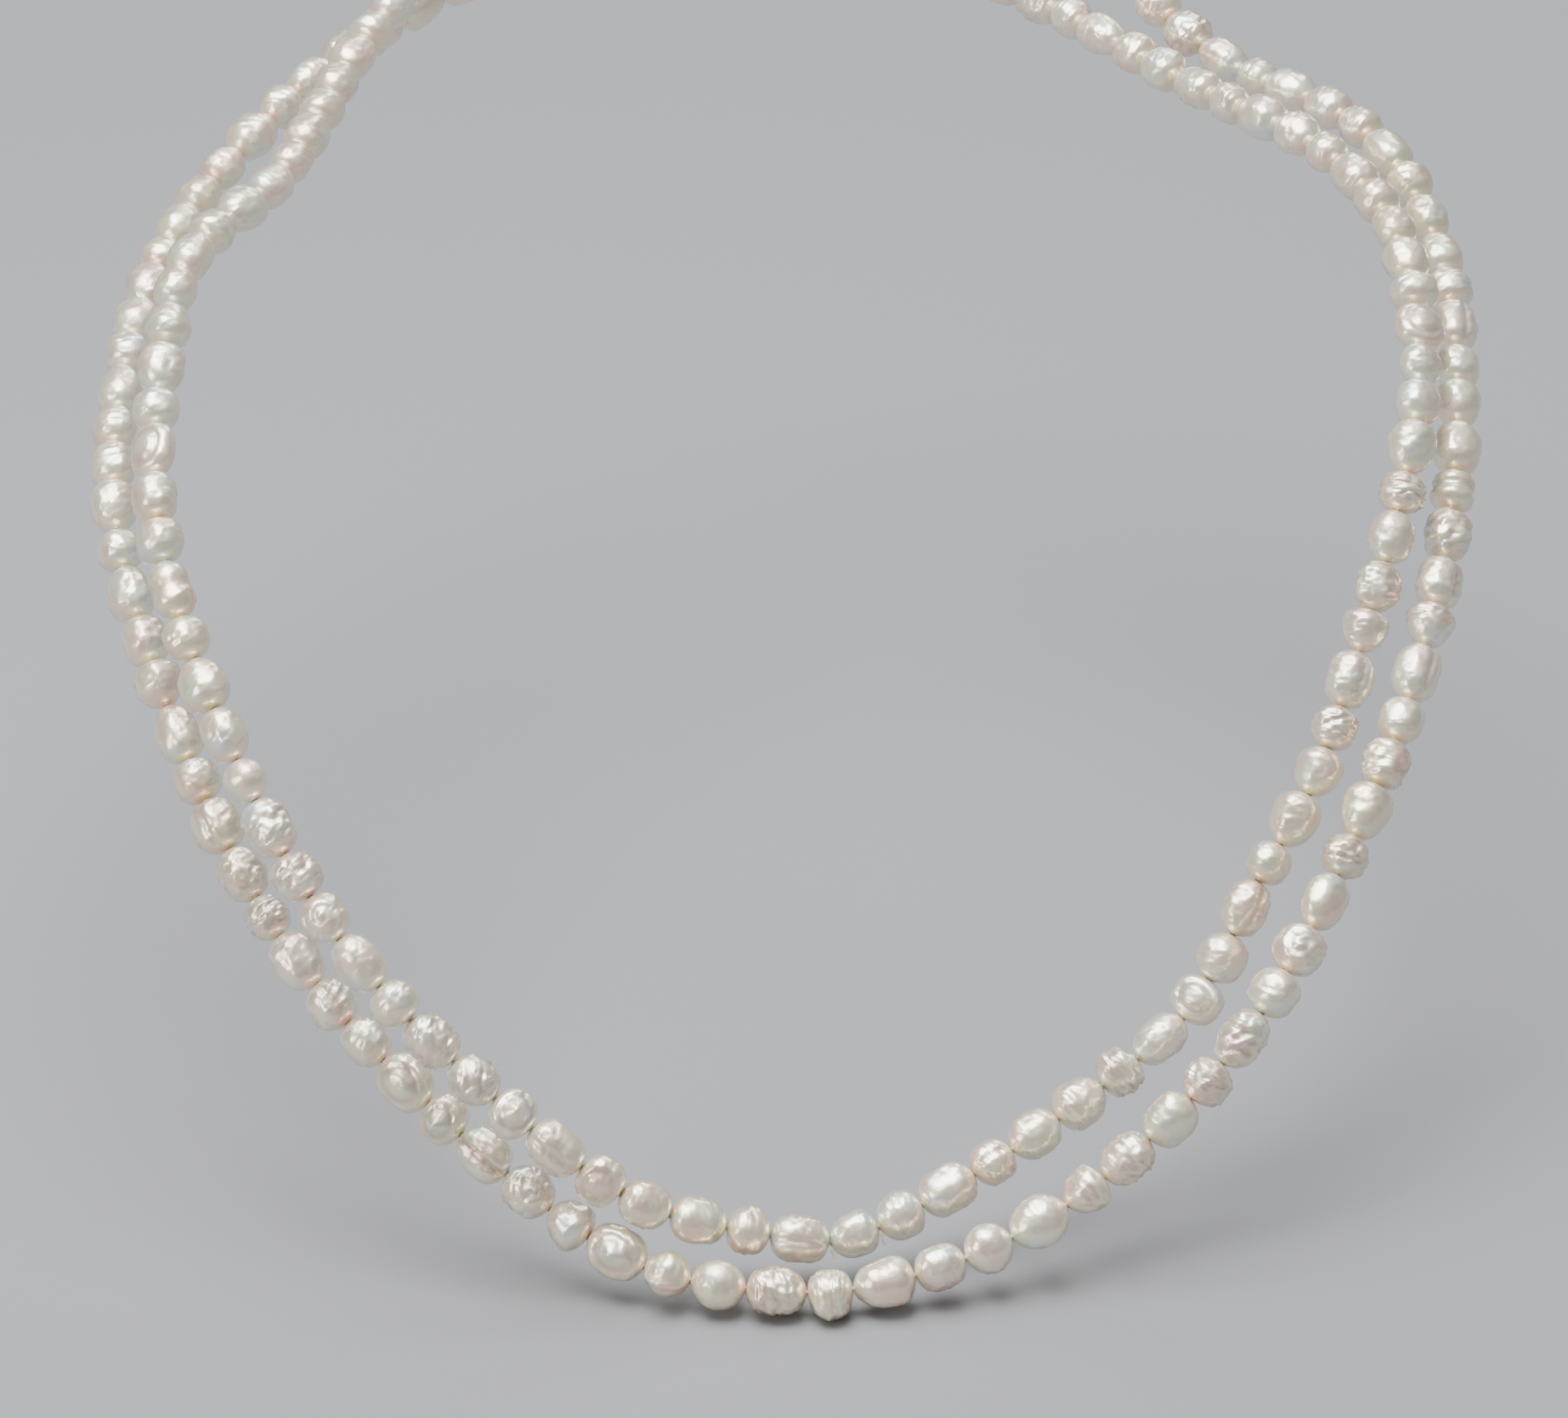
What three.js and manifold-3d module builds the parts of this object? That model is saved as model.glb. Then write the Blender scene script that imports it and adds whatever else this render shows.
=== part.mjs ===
// Double-strand baroque pearl necklace, clasped, in the drape it takes when worn.
// Millimetres, +Z up, front at -Y. Origin: neck axis at the height of the nape.
import * as THREE from "three";
import { mergeVertices } from "three/addons/utils/BufferGeometryUtils.js";
import Module from "manifold-3d";

// Driving dimensions
const OUTER_WIDTH = 5.0; // pearl widths across the strand
const INNER_WIDTH = 4.9;
const OUTER_DRIFT = 0.3; // how far the mid pearls lag an even pitch, in pearls
const INNER_DRIFT = 0.8;
const NECK_R = 0.85; // where two pearls meet, at the drill hole
const BORE_R = 0.55; // drill hole
const THREAD_R = 0.24;
const RUN_GAP = 0.3; // between neighbouring runs on one thread
const HINGE_GAP = 0.6; // where a front lobe hinges off the shoulder run
const SIDES = 8; // round a pearl
const PEARL_STATIONS = [0.17, 0.5, 0.83];
const RING_R = 2.4; // jump rings at both sides of the clasp
const RING_WIRE = 0.4;
const RING_X = 7.4;
const CLASP_Y = 52;
const GIMP_R = 1.05; // French wire loop round a ring
const GIMP_WIRE = 0.32;
const GIMP_Y = 0.55;
const KNOT_R = 0.5;
const KNOT_REACH = 2.2;
const BUST = new THREE.Vector3(0, -30, -150); // pearls lie flat towards this point

// Each strand's drape in whole millimetres, placed by hand: from the right side of the clasp,
// over the collarbone, round the bottom of the loop and back up to the left side.
const OUTER_ROUTE = [
  [12, 51, 3], [38, 40, 2], [57, 16, -10], [70, -3, -11], [76, -22, -17],
  [74, -50, -28], [64, -78, -46], [44, -105, -68], [24, -114, -84], [4, -119, -91],
  [-15, -118, -92], [-34, -109, -87], [-62, -84, -64], [-76, -50, -37],
  [-75, -20, -24], [-64, 12, -16], [-40, 38, -7], [-12, 51, -3],
];
const INNER_ROUTE = [
  [14, 50, -3], [35, 34, -7], [54, 6, -10], [65, -10, -11], [71, -30, -15],
  [68, -56, -25], [54, -82, -50], [44, -92, -62], [33, -100, -75], [0, -112, -89],
  [-15, -112, -88], [-32, -110, -80], [-58, -94, -55], [-72, -64, -26],
  [-69, -34, -10], [-64, -21, -7], [-55, -8, -6], [-44, 20, -2], [-28, 43, 3],
  [-12, 51, 3],
];

// One letter per pearl: o oval, e and g egg, b button, c barrel, d diamond, l two-lobed,
// r round and knobbly, s spindle, t tooth, w wrinkled.
const OUTER_PEARLS =
  "oeocogoeoro" +
  "oeogoeogocoeolrctcowerobowrowtddoecrdsbtrlbbocowrcoegoeogooeoogo" +
  "oeoogocoeogoo";
const INNER_PEARLS =
  "oeogocoeoogo" +
  "oeogooeobdoewortcweeocoborgocoeecooobcbrwoobrwdoeolocbogeooegooo" +
  "ogoeocoogeo";
// Radius at the three stations and the thickness, as shares of half the width.
const KINDS = {
  o: [0.8, 1.0, 0.8, 0.92],
  e: [0.9, 0.98, 0.68, 0.92],
  g: [0.68, 0.98, 0.9, 0.92],
  b: [0.86, 1.04, 0.86, 0.8],
  c: [0.92, 0.97, 0.92, 0.9],
  d: [0.66, 1.05, 0.66, 0.86],
  l: [0.93, 0.9, 0.93, 0.9],
  r: [0.88, 1.02, 0.88, 0.95],
  s: [0.6, 0.94, 0.62, 0.9],
  t: [0.98, 0.92, 0.6, 0.9],
  w: [0.86, 0.96, 0.88, 0.9],
};

// Pearls per run: right shoulder, front lobe, left shoulder
const OUTER_RUNS = [[5, 5, 5, 6], [5, 5, 5, 5, 6, 5, 5, 5, 5], [6, 5, 5, 5]];
const INNER_RUNS = [[5, 5, 5, 5], [5, 5, 6, 5, 6, 5, 6, 5, 5], [5, 5, 5, 4]];

const material = (name, color, metalness, roughness) =>
  Object.assign(new THREE.MeshStandardMaterial({ color, metalness, roughness }), { name });
const pearl = material("pearl", 0xe4dccb, 0.1, 0.25);
const silk = material("thread", 0xf2efe6, 0, 0.8);
const silver = material("silver", 0xc9c9cc, 1, 0.25);
const wire = material("french_wire", 0xd6d5d0, 1, 0.4);

const root = new THREE.Group();
root.name = "pearl_necklace";
const add = (name, geometry, mat) => {
  const mesh = new THREE.Mesh(geometry, mat);
  mesh.name = name;
  root.add(mesh);
};

// A smooth path through the route's points, measured along its length.
function pathOf(route) {
  const w = route.map((p) => new THREE.Vector3(...p));
  const pts = [w[0].clone().multiplyScalar(2).sub(w[1]), ...w,
    w.at(-1).clone().multiplyScalar(2).sub(w.at(-2))];
  const spots = [];
  for (let i = 1; i < pts.length - 2; i++)
    for (let k = 0; k < 40; k++) {
      const t = k / 40, [a, b, c, d] = pts.slice(i - 1, i + 3);
      const at = (j) => 0.5 * (2 * b[j] + (c[j] - a[j]) * t +
        (2 * a[j] - 5 * b[j] + 4 * c[j] - d[j]) * t * t +
        (3 * b[j] - a[j] - 3 * c[j] + d[j]) * t ** 3);
      spots.push(new THREE.Vector3(at("x"), at("y"), at("z")));
    }
  spots.push(w.at(-1));
  const along = [0];
  for (let i = 1; i < spots.length; i++)
    along.push(along[i - 1] + spots[i].distanceTo(spots[i - 1]));
  const point = (s) => {
    let i = 1;
    while (i < along.length - 1 && along[i] < s) i++;
    const t = (s - along[i - 1]) / (along[i] - along[i - 1]);
    return spots[i - 1].clone().lerp(spots[i], t);
  };
  return { length: along.at(-1), point };
}

// Where pearl i starts along its strand: even pitch with a little natural variation, and
// slightly shorter pearls before the middle than after it.
const edge = (i, n, length, drift) =>
  (length / n) * (i - drift * Math.sin((Math.PI * i) / n) +
    0.09 * Math.sin(2.4 * i + 0.6) * Math.min(1, i / 3, (n - i) / 3));

// The direction along the path, the one away from the bust, and the one across.
function frameAt(path, s) {
  const t = path.point(s + 0.5).sub(path.point(s - 0.5)).normalize();
  const p = path.point(s), out = p.clone().sub(BUST);
  out.addScaledVector(t, -out.dot(t)).normalize();
  return { p, t, out, side: new THREE.Vector3().crossVectors(out, t) };
}

// A closed skin over rings of points: rings given along the path, outside then bore.
function skin(outside, inside) {
  const pos = [], idx = [];
  const put = (ring) => {
    const first = pos.length / 3;
    ring.forEach((v) => pos.push(v.x, v.y, v.z));
    return first;
  };
  const band = (a, b, n, flip) => {
    for (let k = 0; k < n; k++) {
      const q = (k + 1) % n;
      const f = [[a + k, a + q, b + q], [a + k, b + q, b + k]];
      f.forEach(([x, y, z]) => idx.push(...(flip ? [x, z, y] : [x, y, z])));
    }
  };
  const o = outside.map(put), n = outside[0].length;
  for (let i = 1; i < o.length; i++) band(o[i - 1], o[i], n, false);
  if (!inside) {
    [[o[0], true], [o.at(-1), false]].forEach(([a, flip]) => {
      for (let k = 1; k < n - 1; k++)
        idx.push(...(flip ? [a, a + k + 1, a + k] : [a, a + k, a + k + 1]));
    });
  } else {
    const b = inside.map(put), m = inside[0].length, step = n / m;
    for (let i = 1; i < b.length; i++) band(b[i - 1], b[i], m, true);
    const cap = (a, c, flip) => {
      const tri = (x, y, z) => idx.push(...(flip ? [x, z, y] : [x, y, z]));
      for (let k = 0; k < m; k++) {
        for (let j = 0; j < step; j++)
          tri(a + k * step + j, a + ((k * step + j + 1) % n), c + (j < step / 2 ? k : (k + 1) % m));
        tri(a + ((k * step + step / 2) % n), c + ((k + 1) % m), c + k);
      }
    };
    cap(o[0], b[0], true);
    cap(o.at(-1), b.at(-1), false);
  }
  const g = new THREE.BufferGeometry();
  g.setAttribute("position", new THREE.Float32BufferAttribute(pos, 3));
  g.setIndex(idx);
  g.computeVertexNormals();
  return g;
}

const ringAt = (f, a, b, n, turn = 0) =>
  [...Array(n)].map((_, k) => {
    const q = (2 * Math.PI * k) / n + turn;
    return f.p.clone().addScaledVector(f.side, a * Math.cos(q)).addScaledVector(f.out, b * Math.sin(q));
  });

// Runs of pearls on one strand, and the thread through each part of it.
function strand(name, route, pearls, width, drift, parts) {
  const path = pathOf(route), n = pearls.length;
  const at = (i) => edge(i, n, path.length, drift);
  const names = ["right", "front", "left"];
  let first = 0;
  let number = 1;
  parts.forEach((runs, part) => {
    const partStart = first;
    runs.forEach((count, r) => {
      const last = first + count, out = [], bore = [];
      const gapA = first === 0 ? 0 : r === 0 ? HINGE_GAP / 2 : RUN_GAP / 2;
      const gapB = last === n ? 0 : r === runs.length - 1 ? HINGE_GAP / 2 : RUN_GAP / 2;
      for (let i = first; i < last; i++) {
        const a = at(i) + (i === first ? gapA : 0), b = at(i + 1) - (i === last - 1 ? gapB : 0);
        const kind = KINDS[pearls[i]], w = (width / 2) * (1 + 0.04 * Math.sin(1.7 * i));
        const rim = frameAt(path, a);
        out.push(ringAt(rim, NECK_R, NECK_R, SIDES));
        bore.push(ringAt(rim, BORE_R, BORE_R, 4));
        PEARL_STATIONS.forEach((t, k) => {
          const r0 = Math.min(w * kind[k], 2.6);
          out.push(ringAt(frameAt(path, a + (b - a) * t), r0, r0 * kind[3], SIDES));
        });
        if (i === last - 1) {
          const end = frameAt(path, b);
          out.push(ringAt(end, NECK_R, NECK_R, SIDES));
          bore.push(ringAt(end, BORE_R, BORE_R, 4));
        }
      }
      add(name + "_run_" + String(number++).padStart(2, "0"), skin(out, bore), pearl);
      first = last;
    });
    // The thread of this part, through every bore, and on to the knot at a clasp end.
    const cord = [];
    for (let i = partStart; i <= first; i++) {
      const open = i === partStart ? (i === 0 ? 0 : HINGE_GAP / 2 + 0.1)
        : i === first ? (i === n ? 0 : -HINGE_GAP / 2 - 0.1) : 0;
      cord.push(ringAt(frameAt(path, at(i) + open), THREAD_R, THREAD_R, 4));
    }
    const toKnot = (s, side, atEnd) => {
      const end = frameAt(path, s), knot = knotAt(side, end.p);
      const stop = knot.clone().addScaledVector(end.p.clone().sub(knot).normalize(), KNOT_R + 0.3);
      const ring = ringAt({ ...end, p: stop }, THREAD_R, THREAD_R, 4);
      atEnd ? cord.push(ring) : cord.unshift(ring);
    };
    if (part === 0) toKnot(0, 1, false);
    if (part === 2) toKnot(path.length, -1, true);
    add(name + "_thread_" + names[part], skin(cord), silk);
  });
  return path;
}

// Where the thread's end is knotted: just out from its French wire loop.
function knotAt(side, end) {
  const up = Math.sign(end.z);
  const from = new THREE.Vector3(side * (RING_X + RING_R), CLASP_Y + up * GIMP_Y, 0);
  return from.clone().addScaledVector(end.clone().sub(from).normalize(), KNOT_REACH);
}

const outerPath = strand("outer", OUTER_ROUTE, OUTER_PEARLS, OUTER_WIDTH, OUTER_DRIFT, OUTER_RUNS);
const innerPath = strand("inner", INNER_ROUTE, INNER_PEARLS, INNER_WIDTH, INNER_DRIFT, INNER_RUNS);

// Knots and French wire loops, one of each per strand end.
const ends = {
  outer_right: [1, outerPath.point(0)], outer_left: [-1, outerPath.point(outerPath.length)],
  inner_right: [1, innerPath.point(0)], inner_left: [-1, innerPath.point(innerPath.length)],
};
for (const [name, [side, end]] of Object.entries(ends)) {
  const knot = knotAt(side, end);
  const ball = new THREE.SphereGeometry(KNOT_R, 8, 6).translate(knot.x, knot.y, knot.z);
  add("knot_" + name, mergeVertices(ball.deleteAttribute("uv").deleteAttribute("normal"), 1e-4), silk);
  const loop = new THREE.TorusGeometry(GIMP_R, GIMP_WIRE, 6, 14).rotateX(Math.PI / 2);
  loop.translate(side * (RING_X + RING_R), CLASP_Y + Math.sign(end.z) * GIMP_Y, 0);
  add("gimp_" + name, loop, wire);
}
for (const [name, side] of [["ring_right", 1], ["ring_left", -1]])
  add(name, new THREE.TorusGeometry(RING_R, RING_WIRE, 8, 22).translate(side * RING_X, CLASP_Y, 0),
    silver);

// Lobster-claw clasp, drawn in X and Z and made thick along Y.
const EYE_X = RING_R - RING_X; // round the inner side of the left ring
const PIVOT = [-0.2, 0.9];
const wasm = await Module();
wasm.setup();
const { Manifold, Mesh } = wasm;
const plate = (points, y0, y1) => {
  const g = new THREE.ExtrudeGeometry(new THREE.Shape(points.map((p) => new THREE.Vector2(...p))),
    { depth: y1 - y0, bevelEnabled: false });
  g.rotateX(Math.PI / 2).translate(0, y1, 0);
  g.deleteAttribute("uv").deleteAttribute("normal");
  const m = mergeVertices(g, 1e-4);
  return new Manifold(new Mesh({ numProp: 3, vertProperties: m.attributes.position.array,
    triVerts: new Uint32Array(m.index.array) }));
};
const round = (cx, cz, rx, rz, n) =>
  [...Array(n)].map((_, k) => [cx + rx * Math.cos((2 * Math.PI * k) / n),
    cz + rz * Math.sin((2 * Math.PI * k) / n)]);
const slab = (x0, z0, x1, z1) => [[x0, z0], [x1, z0], [x1, z1], [x0, z1]];
const solid = (name, m, mat) => {
  const { vertProperties, triVerts } = m.getMesh();
  const g = new THREE.BufferGeometry();
  g.setAttribute("position", new THREE.BufferAttribute(new Float32Array(vertProperties), 3));
  g.setIndex(new THREE.BufferAttribute(new Uint32Array(triVerts), 1));
  g.translate(0, CLASP_Y, 0);
  g.computeVertexNormals();
  add(name, g, mat);
};
const jaw = (half) => plate(round(2.3, 0, 4.3, 2.7, 28), -half, half)
  .subtract(plate(round(3.0, 0, 2.8, 1.75, 24), -half - 1, half + 1));
const body = jaw(1.5).intersect(plate(slab(-9, -9, 3, 9), -9, 9))
  .add(jaw(0.8).intersect(plate(slab(2.9, -9, 9, 9), -9, 9)))
  .add(plate(slab(-4.6, -0.8, -1, 0.8), -1, 1))
  .add(plate(round(EYE_X, 0, 1.4, 1.4, 18), -0.6, 0.6))
  .subtract(plate(round(EYE_X, 0, 0.78, 0.78, 14), -3, 3))
  .subtract(plate(slab(0.9, 0.55, 3.6, 9), -3, 3))
  .subtract(plate(slab(-1.6, -0.5, 1.2, 9), -0.9, 0.9))
  .subtract(plate(round(...PIVOT, 0.5, 0.5, 12), -3, 3));
solid("clasp_body", body, silver);
const lever = plate([[-0.2, 0.25], [1, 0.75], [3.3, 1.15], [3.3, 1.95], [1.7, 2.15],
  [1.5, 3.1], [0.6, 3.1], [0.5, 2.1], [-0.2, 1.6]], -0.45, 0.15)
  .add(plate(round(...PIVOT, 0.75, 0.75, 14), -0.45, 0.15))
  .subtract(plate(round(...PIVOT, 0.5, 0.5, 12), -3, 3));
solid("trigger", lever, silver);
solid("trigger_pin", plate(round(...PIVOT, 0.4, 0.4, 12), -1.5, 1.5), silver);
const coil = new THREE.TorusGeometry(0.76, 0.14, 6, 16).rotateX(Math.PI / 2);
add("trigger_spring", coil.translate(PIVOT[0], CLASP_Y + 0.52, PIVOT[1]), silver);

export default root;
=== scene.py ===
import math

import bmesh
import bpy
from mathutils import Matrix, Vector


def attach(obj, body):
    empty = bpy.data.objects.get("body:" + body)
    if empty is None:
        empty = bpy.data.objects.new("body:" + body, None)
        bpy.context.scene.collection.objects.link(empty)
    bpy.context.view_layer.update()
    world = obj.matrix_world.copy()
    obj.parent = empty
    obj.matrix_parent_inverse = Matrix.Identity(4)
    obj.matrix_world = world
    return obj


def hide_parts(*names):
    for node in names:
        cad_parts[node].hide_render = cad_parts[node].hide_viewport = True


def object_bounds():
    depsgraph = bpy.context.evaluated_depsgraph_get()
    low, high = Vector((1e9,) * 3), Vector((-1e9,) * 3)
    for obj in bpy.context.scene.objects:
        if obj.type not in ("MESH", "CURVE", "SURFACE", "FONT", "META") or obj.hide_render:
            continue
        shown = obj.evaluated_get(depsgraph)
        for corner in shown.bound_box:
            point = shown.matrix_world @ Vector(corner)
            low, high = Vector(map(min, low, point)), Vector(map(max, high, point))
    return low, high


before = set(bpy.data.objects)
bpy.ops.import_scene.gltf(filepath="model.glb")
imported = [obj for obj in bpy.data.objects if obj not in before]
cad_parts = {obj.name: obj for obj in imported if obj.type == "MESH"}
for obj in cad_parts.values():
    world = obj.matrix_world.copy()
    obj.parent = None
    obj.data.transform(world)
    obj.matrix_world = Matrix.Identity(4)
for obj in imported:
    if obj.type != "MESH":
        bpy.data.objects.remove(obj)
packed_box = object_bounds()

# Camera, lights and floor. The viewer stands a little to the wearer's right and above,
# with a long lens, looking down at the strands. Soft lamps hang over a plain pale floor.
MM = 0.001
camera = bpy.data.objects.new("viewer", bpy.data.cameras.new("viewer"))
bpy.context.scene.collection.objects.link(camera)
camera.data.sensor_width = 36
camera.data.lens = 170
camera.data.clip_start = 0.05
camera.matrix_world = (
    Matrix.Translation(Vector((-68, -790, 337)) * MM)
    @ Matrix.Rotation(math.radians(-5), 4, "Z")
    @ Matrix.Rotation(math.radians(62), 4, "X")
    @ Matrix.Rotation(math.radians(-2), 4, "Z")
)
bpy.context.scene.camera = camera

world = bpy.data.worlds.new("room")
bpy.context.scene.world = world
world.use_nodes = True
room = world.node_tree
height = room.nodes.new("ShaderNodeSeparateXYZ")
fade = room.nodes.new("ShaderNodeValToRGB")  # grey walls under a white ceiling
WALL, CEILING = (0.62, (0.21, 0.21, 0.22, 1)), (0.92, (0.98, 1.02, 1.08, 1))
for element, (at, color) in zip(fade.color_ramp.elements, (WALL, CEILING)):
    element.position, element.color = at, color
room.links.new(room.nodes.new("ShaderNodeTexCoord").outputs["Generated"], height.inputs[0])
room.links.new(height.outputs["Z"], fade.inputs[0])
room.links.new(fade.outputs[0], room.nodes["Background"].inputs["Color"])
for name, place, size, power, color in (
    ("window_above", (-0.12, -0.02, 0.55), 0.50, 5.8, (0.97, 0.985, 1.0)),
    ("lamp_behind", (0.30, 0.55, 0.48), 0.30, 1.6, (0.97, 0.985, 1.0)),
    ("lamp_front", (-0.60, -0.45, 0.20), 0.26, 2.0, (1.0, 0.96, 0.90)),
):
    lamp = bpy.data.objects.new(name, bpy.data.lights.new(name, "AREA"))
    lamp.data.size, lamp.data.energy, lamp.data.color = size, power, color
    lamp.location = place
    aim = Vector((0, -0.03, -0.04)) - Vector(place)
    lamp.rotation_euler = aim.to_track_quat("-Z", "Y").to_euler()
    bpy.context.scene.collection.objects.link(lamp)

skylight = bpy.data.objects.new("skylight", bpy.data.lights.new("skylight", "SUN"))
skylight.data.energy, skylight.data.angle = 1.9, math.radians(38)
skylight.rotation_euler = (math.radians(8), math.radians(-10), 0)
bpy.context.scene.collection.objects.link(skylight)

bpy.ops.mesh.primitive_plane_add(size=12, location=(0, 0, packed_box[0][2] - 0.0005))
floor = bpy.context.object
floor.name = "floor"
paper = bpy.data.materials.new("pale_paper")
paper.use_nodes = True
paper.node_tree.nodes["Principled BSDF"].inputs["Base Color"].default_value = (0.27, 0.27, 0.28, 1)
paper.node_tree.nodes["Principled BSDF"].inputs["Roughness"].default_value = 0.85
floor.data.materials.append(paper)

# Pearls: freshwater baroque pearls of solid nacre, each one grown to its own shape,
# drilled lengthways and threaded end to end in the order that the strings below give.
# Each strand runs from the right side of the clasp round the front to the left side, along
# the same stations, in millimetres, as in the CAD part's source.
OUTER_ROUTE = (
    (12, 51, 3), (38, 40, 2), (57, 16, -10), (70, -3, -11), (76, -22, -17),
    (74, -50, -28), (64, -78, -46), (44, -105, -68), (24, -114, -84), (4, -119, -91),
    (-15, -118, -92), (-34, -109, -87), (-62, -84, -64), (-76, -50, -37),
    (-75, -20, -24), (-64, 12, -16), (-40, 38, -7), (-12, 51, -3),
)
INNER_ROUTE = (
    (14, 50, -3), (35, 34, -7), (54, 6, -10), (65, -10, -11), (71, -30, -15),
    (68, -56, -25), (54, -82, -50), (44, -92, -62), (33, -100, -75), (0, -112, -89),
    (-15, -112, -88), (-32, -110, -80), (-58, -94, -55), (-72, -64, -26),
    (-69, -34, -10), (-64, -21, -7), (-55, -8, -6), (-44, 20, -2), (-28, 43, 3),
    (-12, 51, 3),
)
OUTER_ORDER = (
    "oeocogoeoro"
    "oeogoeogocoeolrctcowerovowrowtddoekrdsntrhnbocowrcoegoeogooeoogo"
    "oeoogocoeogoo"
)
INNER_ORDER = (
    "oeogocoeoogo"
    "oeogooeobdoewortcweeocoborgocoeecooobcnrwoovrwdoeolocbogeooegooo"
    "ogoeocoogeo"
)
BUST = Vector((0, -30, -150)) * MM  # pearls lie flat towards this point
DRILL_R = 0.38 * MM


def path_of(route):
    """A smooth path through the route's points: its length, and the point at a distance."""
    knots = [Vector(p) * MM for p in route]
    knots = [2 * knots[0] - knots[1], *knots, 2 * knots[-1] - knots[-2]]
    spots = []
    for i in range(1, len(knots) - 2):
        a, b, c, d = knots[i - 1 : i + 3]
        for step in range(40):
            t = step / 40
            spots.append(0.5 * (2 * b + (c - a) * t + (2 * a - 5 * b + 4 * c - d) * t**2
                                + (3 * b - a - 3 * c + d) * t**3))
    spots.append(knots[-2])
    along = [0.0]
    for a, b in zip(spots, spots[1:]):
        along.append(along[-1] + (b - a).length)

    def point(s):
        low, high = 0, len(along) - 1
        while high - low > 1:
            mid = (low + high) // 2
            low, high = (mid, high) if along[mid] < s else (low, mid)
        return spots[low].lerp(spots[high], (s - along[low]) / (along[high] - along[low]))

    return along[-1], point


def edge(i, n, length, drift):
    """Where pearl i starts along its strand."""
    wander = 0.09 * math.sin(2.4 * i + 0.6) * min(1, i / 3, (n - i) / 3)
    return length / n * (i - drift * math.sin(math.pi * i / n) + wander)


def calc(tree, kind, *values):
    """A Math node in a tree, fed by sockets or plain numbers."""
    node = tree.nodes.new("ShaderNodeMath")
    node.operation = kind
    for socket, value in zip(node.inputs, values):
        if isinstance(value, bpy.types.NodeSocket):
            tree.links.new(value, socket)
        else:
            socket.default_value = value
    return node.outputs[0]


def new_tree(name, path=False, **inputs):
    """An empty Geometry Nodes tree with one named input for each size, and its end nodes."""
    tree = bpy.data.node_groups.new(name, "GeometryNodeTree")
    tree.interface.new_socket("Geometry", in_out="OUTPUT", socket_type="NodeSocketGeometry")
    if path:
        tree.interface.new_socket("Path", in_out="INPUT", socket_type="NodeSocketGeometry")
    for label, value in inputs.items():
        kind = "NodeSocketInt" if isinstance(value, int) else "NodeSocketFloat"
        made = tree.interface.new_socket(label.replace("_", " "), in_out="INPUT", socket_type=kind)
        made.default_value = value
    tree.interface.new_socket("Material", in_out="INPUT", socket_type="NodeSocketMaterial")
    start, end = tree.nodes.new("NodeGroupInput"), tree.nodes.new("NodeGroupOutput")
    return tree, start.outputs, end.inputs[0]


def close_tree(tree, geometry, material, end):
    """Smooth shading, Realize Instances and Set Material, then the output."""
    smooth = tree.nodes.new("GeometryNodeSetShadeSmooth")
    real = tree.nodes.new("GeometryNodeRealizeInstances")
    finish = tree.nodes.new("GeometryNodeSetMaterial")
    for a, b in ((geometry, smooth), (smooth.outputs[0], real), (real.outputs[0], finish)):
        tree.links.new(a, b.inputs[0])
    tree.links.new(material, finish.inputs["Material"])
    tree.links.new(finish.outputs[0], end)


def grow(tree, name, material, path=None, **sizes):
    """Runs a tree with these inputs and returns the result as a plain mesh."""
    blank = path or bpy.data.meshes.new(name + "_blank")
    seed = bpy.data.objects.new(name, blank)
    bpy.context.scene.collection.objects.link(seed)
    modifier = seed.modifiers.new("shape", "NODES")
    modifier.node_group = tree
    sizes["Material"] = material
    for item in tree.interface.items_tree:
        if item.in_out == "INPUT" and item.name in sizes:
            modifier[item.identifier] = sizes[item.name]
    bpy.context.view_layer.update()
    graph = bpy.context.evaluated_depsgraph_get()
    mesh = bpy.data.meshes.new_from_object(seed.evaluated_get(graph), depsgraph=graph)
    bpy.data.objects.remove(seed)
    bpy.data.meshes.remove(blank)
    mesh.name = name
    return mesh


def show(name, mesh, body, slot, *nodes):
    """A finished piece: its object, the body it rides on and the CAD nodes it stands for."""
    piece = bpy.data.objects.new(name, mesh)
    bpy.context.scene.collection.objects.link(piece)
    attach(piece, body)
    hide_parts(*nodes)
    return piece


pearl_tree, size, pearl_end = new_tree(
    "baroque_pearl", Length=0.006, Width=0.005, Thickness=0.0046, Hole=DRILL_R, Bluntness=2.75,
    Taper=0.0, Waist=0.0, Lumps=0.04, Folds=0.0, Wrinkles=0.0, Wrinkle_Count=6.0, Rim=0.0,
    Nub=0.0, Groove=0.0, Spiral=0.0, Bow=0.0, Crinkle=0.03, Tint=0.5, Seed=0.0, Around=60, Along=46,
)


def m(kind, *values):
    return calc(pearl_tree, kind, *values)


def vector(x, y, z):
    node = pearl_tree.nodes.new("ShaderNodeCombineXYZ")
    for socket, value in zip(node.inputs, (x, y, z)):
        pearl_tree.links.new(value, socket)
    return node.outputs[0]


def noise(at, scale, shift, detail=1.0):
    node = pearl_tree.nodes.new("ShaderNodeTexNoise")
    node.noise_dimensions = "4D"
    pearl_tree.links.new(at, node.inputs["Vector"])
    pearl_tree.links.new(m("ADD", size["Seed"], shift), node.inputs["W"])
    node.inputs["Scale"].default_value = scale
    node.inputs["Detail"].default_value = detail
    return m("MULTIPLY", m("SUBTRACT", node.outputs[0], 0.5), 2.0)


def bell(value, centre, width):
    """1 at the centre, falling away over the width."""
    away = m("DIVIDE", m("SUBTRACT", value, centre), width)
    return m("EXPONENT", m("MULTIPLY", m("POWER", away, 2.0), -1.0))


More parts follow.
